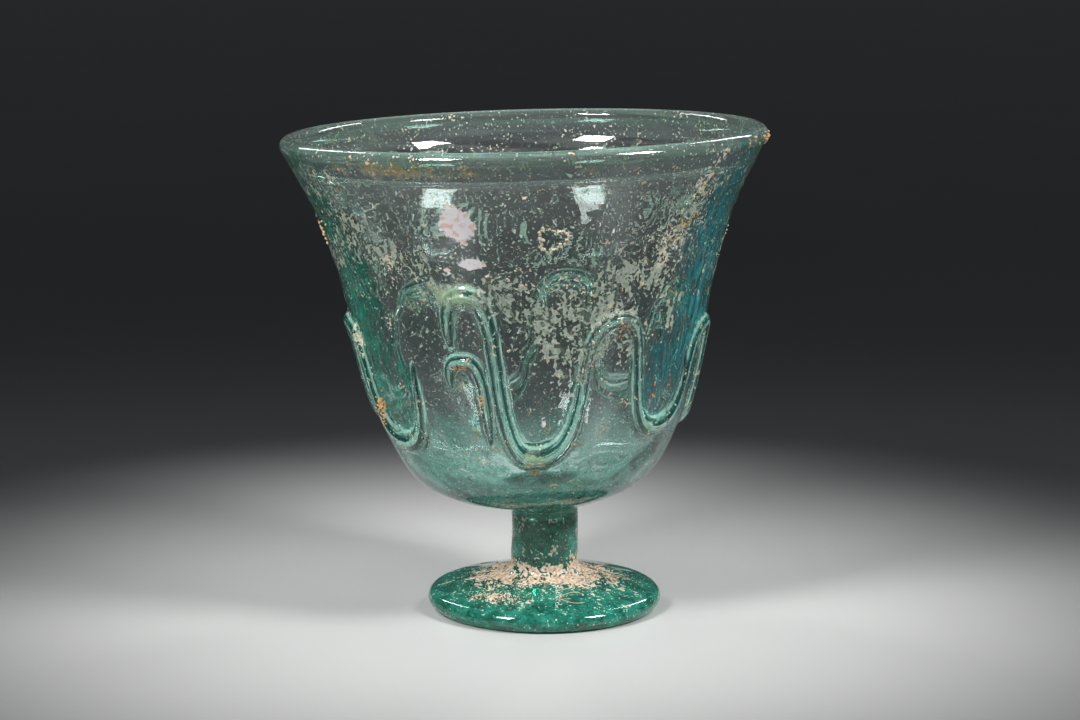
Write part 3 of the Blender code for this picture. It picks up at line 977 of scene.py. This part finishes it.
class Skin:
    """The outside of the glass, as something to lay crumbs on."""

    def __init__(self, item):
        mesh = item.data
        self.tree = BVHTree.FromPolygons([v.co for v in mesh.vertices], [p.vertices for p in mesh.polygons])

    def beside(self, degrees, height):
        """The place on the bowl, and the way out of the glass there. Height in mm over the bowl's base."""
        a = math.radians(degrees)
        radius = float(np.interp(height * MM, OUTSIDE[:, 1], OUTSIDE[:, 0])) + OFF_BOWL
        out = np.array([[radius * math.sin(a), -radius * math.cos(a), BOWL_BASE + height * MM],
                        [0.0, 0.0, BOWL_BASE + height * MM]])
        start, aim = (Vector(p) for p in set_in_place(out))
        return self.tree.ray_cast(start, (aim - start).normalized())[:2]

    def below(self, degrees, away):
        """The place on the foot's top, so many mm from its axis."""
        a = math.radians(degrees)
        start = Vector((FOOT_X + away * MM * math.sin(a), -away * MM * math.cos(a), OVER_FOOT))
        return self.tree.ray_cast(start, Vector((0.0, 0.0, -1.0)))[:2]

    def on_stem(self, degrees, height):
        """The place on the stem, so many mm over the table."""
        a = math.radians(degrees)
        out = Vector((math.sin(a), -math.cos(a), 0.0))
        start = Vector((FOOT_X, 0.0, height * MM)) + out * OFF_STEM
        return self.tree.ray_cast(start, -out)[:2]


def rounded_ball(fineness):
    """The corners and faces of a small ball of triangles."""
    work = bmesh.new()
    bmesh.ops.create_icosphere(work, subdivisions=fineness, radius=1.0)
    points = [v.co.copy() for v in work.verts]
    faces = [[v.index for v in f.verts] for f in work.faces]
    work.free()
    return points, faces


SMALL_BALL = rounded_ball(1)
LARGE_BALL = rounded_ball(2)
LARGE_FROM = 0.00018  # crumbs over this size are made from the finer ball


def grain(chance, place, normal, size):
    """The points and faces of one rough crumb, sunk a little into what it lies on."""
    corners, faces = LARGE_BALL if size > LARGE_FROM else SMALL_BALL
    spin = Matrix.Rotation(chance.uniform(0, 2 * math.pi), 3, "Z")
    twist = normal.to_track_quat("Z", "Y").to_matrix() @ spin
    shape = Vector([chance.uniform(0.7, 1.2), chance.uniform(0.7, 1.1), chance.uniform(0.6, 0.95)]) * size
    seed = Vector([chance.uniform(-50, 50) for _ in range(3)])
    points = []
    for corner in corners:
        rough = 1 + 0.5 * noise.noise(corner * 1.3 + seed)
        flat = Vector((corner.x * shape.x, corner.y * shape.y, corner.z * shape.z + shape.z * 0.15)) * rough
        points.append(place + twist @ flat)
    return points, faces


def crumbs(name, spots, material):
    """One piece of many crumbs. Each spot is a place, the way out there, and the crumb's size in metres."""
    chance = random.Random(name)
    points = []
    faces = []
    for place, normal, size in spots:
        if place is None:
            continue
        first = len(points)
        corners, sides = grain(chance, place, normal, size)
        points += corners
        faces += [[first + i for i in side] for side in sides]
    item = mesh_object(name, points, faces)
    item.data.materials.append(material)
    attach(item, "root")
    return item


# Crumbs on the bowl: degrees round, height in mm, half width, half height, tilt, how many, size in mm
PALE_CRUMBS = (
    (43, 66, 4.5, 6.0, -20, 60, 0.26),
    (49, 79, 2.4, 5.0, -25, 34, 0.24),
    (-42, 64, 7.0, 2.6, -8, 26, 0.18),
    (18, 56, 10.0, 5.0, 10, 34, 0.17),
    (92, 62, 9.0, 6.0, 0, 30, 0.20),
    (168, 58, 12.0, 5.0, 0, 36, 0.20),
    (232, 60, 12.0, 5.0, 0, 36, 0.20),
    (284, 66, 8.0, 5.0, 0, 26, 0.20),
)
ORANGE_CRUMBS = (
    (45, 70, 2.6, 4.0, -20, 14, 0.30),
    (16, 57, 15.0, 8.0, 0, 26, 0.18),
    (-34, 66, 12.0, 5.0, 0, 16, 0.17),
    (42, 50, 5.0, 6.0, 0, 10, 0.20),
    (84, 86, 6.0, 1.4, 0, 26, 0.34),
    (70, 86.5, 6.0, 0.8, 0, 10, 0.26),
    (-83, 67, 3.0, 3.4, 0, 14, 0.34),
    (-16, 32, 0.8, 4.0, 0, 16, 0.26),
    (-20, 23, 1.4, 3.0, 0, 9, 0.24),
    (-21, 40, 1.6, 0.8, 0, 8, 0.26),
    (-63, 28, 1.2, 6.0, 0, 26, 0.28),
    (30, 47, 1.0, 2.6, 0, 10, 0.28),
    (46, 31, 1.2, 2.6, 0, 8, 0.26),
    (53, 34, 0.8, 1.4, 0, 5, 0.26),
    (-7, 22.5, 2.0, 0.8, 0, 8, 0.22),
    (120, 46, 3.0, 3.0, 0, 10, 0.28),
    (196, 22, 3.0, 1.6, 0, 10, 0.28),
    (262, 80, 5.0, 3.0, 0, 14, 0.28),
)
CRUMB_SCATTER = 0.55  # the scatter of a patch's crumbs, as a share of its half width and half height
CRUMB_SIZES = (0.45, 1.25)  # the smallest and the largest crumb, as shares of a patch's size
BEIGE_RING = (7.0, 69.0, 2.3)  # a ring of crust high on the bowl: degrees round, height and radius in mm
RING_CRUMBS = 56
# Grains on the foot: how many lie round the stem, in the left patch, on the stem, and larger ones anywhere
ROUND_GRAINS = 2600
LEFT_GRAINS = 360
STEM_GRAINS = 220
LARGE_GRAINS = 60
FOOT_GRAINS_FROM = 8.6
FOOT_GRAINS_TO = 25.5
STEM_GRAINS_FROM = 9.5
# Rootlets on the foot, in mm
FIBRES = 16
FIBRE_THICK = 0.09
FIBRE_LIFT = 0.06
FIBRE_STEP = 0.5
FIBRE_ZONE = (8.4, 25.6)


def bowl_spots(skin, rows, seed):
    """Crumbs strewn more thickly towards the middle of each patch on the bowl."""
    chance = random.Random(seed)
    spots = []
    for degrees, up, wide, tall, tilt, count, size in rows:
        turned = math.radians(tilt)
        for _ in range(count):
            along = chance.gauss(0, CRUMB_SCATTER) * wide
            aside = chance.gauss(0, CRUMB_SCATTER) * tall
            x = along * math.cos(turned) - aside * math.sin(turned)
            y = along * math.sin(turned) + aside * math.cos(turned)
            place, normal = skin.beside(degrees + math.degrees(x * MM / UNROLLED), up + y)
            spots.append((place, normal, size * MM * chance.uniform(*CRUMB_SIZES)))
    return spots


def ring_spots(skin):
    """Crumbs in a wavy ring high on the bowl."""
    chance = random.Random("ring")
    degrees, up, radius = BEIGE_RING
    spots = []
    for i in range(RING_CRUMBS):
        a = 2 * math.pi * i / RING_CRUMBS
        reach = radius * (1 + 0.16 * math.sin(3 * a + 1)) + chance.gauss(0, 0.22)
        x = reach * math.cos(a) * 1.1
        place, normal = skin.beside(degrees + math.degrees(x * MM / UNROLLED), up + reach * math.sin(a))
        spots.append((place, normal, MM * chance.uniform(0.20, 0.44)))
    return spots


def foot_spots(skin):
    """Sandy soil caught on the foot round the stem, thinning outwards, and a little up the stem."""
    chance = random.Random("foot")
    spots = []
    for _ in range(ROUND_GRAINS):
        degrees = chance.uniform(-180, 180)
        away = FOOT_GRAINS_FROM + abs(chance.gauss(0, 3.2 + 2.6 * abs(math.sin(math.radians(degrees)))))
        if away < FOOT_GRAINS_TO:
            place, normal = skin.below(degrees, away)
            spots.append((place, normal, MM * chance.uniform(0.05, 0.17)))
    for _ in range(LEFT_GRAINS):
        place, normal = skin.below(chance.gauss(-34, 12), chance.gauss(20.0, 1.7))
        spots.append((place, normal, MM * chance.uniform(0.05, 0.19)))
    for _ in range(STEM_GRAINS):
        degrees = chance.uniform(-180, 180)
        place, normal = skin.on_stem(degrees, STEM_GRAINS_FROM + abs(chance.gauss(0, 3.2)))
        spots.append((place, normal, MM * chance.uniform(0.05, 0.18)))
    for _ in range(LARGE_GRAINS):
        place, normal = skin.below(chance.uniform(-180, 180), chance.uniform(9, 20))
        spots.append((place, normal, MM * chance.uniform(0.18, 0.34)))
    return spots


def fibres(skin):
    """Fine rootlets dried on to the foot, as thin curled tubes."""
    chance = random.Random("fibres")
    points = []
    faces = []
    for _ in range(FIBRES):
        degrees, away = chance.uniform(-180, 180), chance.uniform(11, 23)
        heading, bend = chance.uniform(0, 2 * math.pi), chance.uniform(-0.35, 0.35)
        x, y = away * math.sin(math.radians(degrees)), -away * math.cos(math.radians(degrees))
        line = []
        for _ in range(chance.randint(9, 20)):
            reach = math.hypot(x, y)
            if FIBRE_ZONE[0] < reach < FIBRE_ZONE[1]:
                place, normal = skin.below(math.degrees(math.atan2(x, -y)), reach)
                line.append(place + normal * FIBRE_LIFT * MM)
            heading += bend + chance.gauss(0, 0.18)
            x += FIBRE_STEP * math.cos(heading)
            y += FIBRE_STEP * math.sin(heading)
        if len(line) > 3:
            add_tube(points, faces, line, FIBRE_THICK * MM)
    item = mesh_object("foot_fibres", points, faces)
    item.data.materials.append(crumb_material("dried_fibre", *DRIED_FIBRE))
    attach(item, "root")


TUBE_SIDES = 6
TUBE_END = 0.45


def add_tube(points, faces, line, radius):
    """A closed tube along the line, thinner at both ends."""
    first = len(points)
    for i, place in enumerate(line):
        along = (line[min(i + 1, len(line) - 1)] - line[max(i - 1, 0)]).normalized()
        side = along.cross(Vector((0.0, 0.0, 1.0))).normalized()
        up = side.cross(along)
        thick = radius * (TUBE_END if i in (0, len(line) - 1) else 1.0)
        for k in range(TUBE_SIDES):
            a = 2 * math.pi * k / TUBE_SIDES
            points.append(place + (side * math.cos(a) + up * math.sin(a)) * thick)
    for i in range(len(line) - 1):
        ring = first + TUBE_SIDES * i
        for k in range(TUBE_SIDES):
            a, b = ring + k, ring + (k + 1) % TUBE_SIDES
            faces.append([a, b, b + TUBE_SIDES, a + TUBE_SIDES])
    last = first + TUBE_SIDES * (len(line) - 1)
    faces.append([first + k for k in reversed(range(TUBE_SIDES))])
    faces.append([last + k for k in range(TUBE_SIDES)])


def soil_and_crumbs(glass):
    """Everything that lies on the glass as grains of its own."""
    skin = Skin(glass)
    pale = crumb_material("pale_crust", *PALE_CRUST)
    orange = crumb_material("orange_crust", *ORANGE_CRUST)
    sandy = crumb_material("sandy_soil", *SANDY_SOIL)
    crumbs("pale_crumbs", bowl_spots(skin, PALE_CRUMBS, "pale") + ring_spots(skin), pale)
    crumbs("orange_crumbs", bowl_spots(skin, ORANGE_CRUMBS, "orange"), orange)
    crumbs("foot_soil", foot_spots(skin), sandy)
    fibres(skin)


def studio():
    """A pale floor with a painted pool of light that darkens away from the goblet, two soft boxes, two soft
    strips behind and a dim room.
    """
    half = FLOOR_HALF
    corners = [(-half, -half, 0), (half, -half, 0), (half, half, 0), (-half, half, 0)]
    floor = mesh_object("floor", corners, [(0, 1, 2, 3)])
    floor.location.z = -FLOOR_DROP
    floor.data.materials.append(floor_material())
    for name, azimuth, elevation, wide, tall, power in LAMPS:
        lamp = bpy.data.lights.new(name, "AREA")
        lamp.shape = "RECTANGLE"
        lamp.size = wide
        lamp.size_y = tall
        lamp.energy = power
        lamp.spread = math.radians(LAMP_SPREAD)
        item = bpy.data.objects.new(name, lamp)
        bpy.context.scene.collection.objects.link(item)
        a = math.radians(azimuth)
        e = math.radians(elevation)
        away = Vector((math.sin(a) * math.cos(e), -math.cos(a) * math.cos(e), math.sin(e)))
        item.location = Vector(LAMP_AIM) + away * LAMP_AWAY
        item.rotation_euler = away.to_track_quat("Z", "Y").to_euler()
    world = bpy.data.worlds.new("dim_room")
    bpy.context.scene.world = world
    world.use_nodes = True
    background = world.node_tree.nodes["Background"]
    background.inputs["Color"].default_value = ROOM_COLOUR
    background.inputs["Strength"].default_value = ROOM_STRENGTH


def camera():
    """The photograph's viewing angle."""
    lens = bpy.data.cameras.new("photo_camera")
    lens.sensor_width = CAMERA_SENSOR
    lens.lens = CAMERA_LENS
    lens.clip_start = CAMERA_CLIP
    item = bpy.data.objects.new("photo_camera", lens)
    item.location = CAMERA_PLACE
    item.rotation_euler = (math.pi / 2 - CAMERA_PITCH, 0.0, 0.0)
    bpy.context.scene.collection.objects.link(item)
    bpy.context.scene.camera = item
    bpy.context.scene.view_settings.view_transform = "Standard"


def main():
    clear_scene()
    camera()
    studio()
    soil_and_crumbs(goblet())


main()
